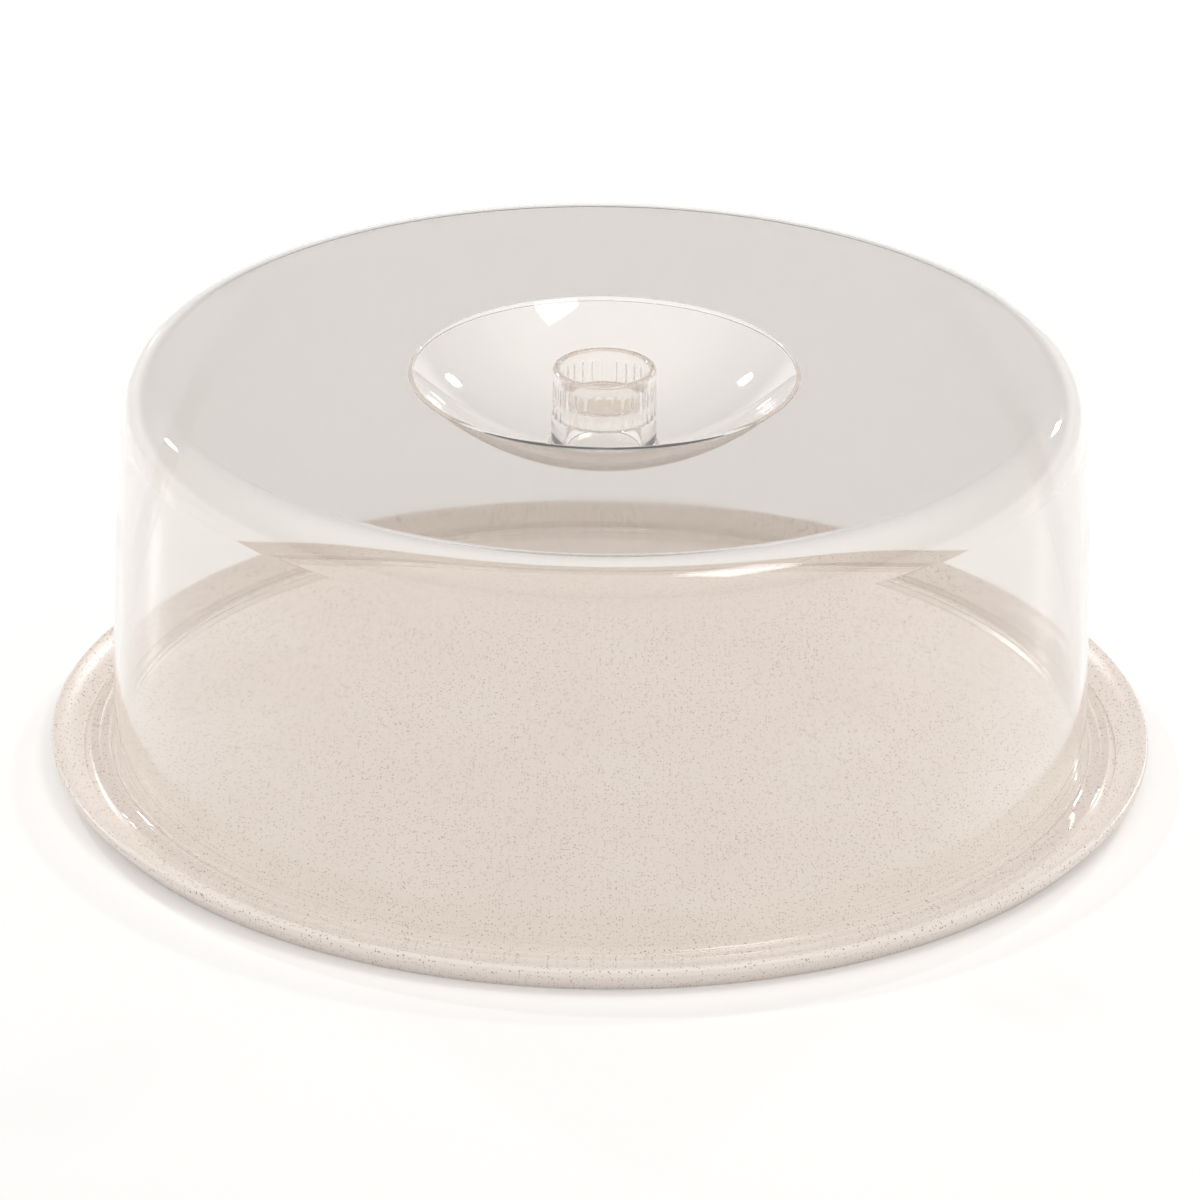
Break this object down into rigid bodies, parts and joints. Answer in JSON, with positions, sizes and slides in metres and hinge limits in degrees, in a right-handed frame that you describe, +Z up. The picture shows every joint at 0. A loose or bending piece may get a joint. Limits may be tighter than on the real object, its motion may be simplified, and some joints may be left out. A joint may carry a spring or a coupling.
{
  "type": "cake cover",
  "caption": "Round clear domed cover with a sunk finger bowl and a fluted open knob in its top, lifting off a shallow speckled round serving plate.",
  "frame": {"origin": "middle of the plate's foot ring, on the surface that the plate stands on", "axes": "+Z up along the common axis of the plate, the dome and the knob; X and Y are alike"},
  "size_m": [0.3124, 0.3124, 0.1188],
  "materials": {
    "plate_speckled": "satin-gloss moulded plastic, warm off-white with fine dark and rust-brown speckles",
    "dome_clear": "clear glossy moulded plastic",
    "knob_clear": "clear glossy moulded plastic"
  },
  "bodies": {
    "plate": {"serving_plate": "plate_speckled"},
    "cover": {"dome_cover": "dome_clear", "finger_knob": "knob_clear"}
  },
  "joints": [
    {"name": "cover_lift", "type": "slide", "parent": "plate", "child": "cover", "axis": [0, 0, 1], "range_m": [0, 0.15]}
  ]
}
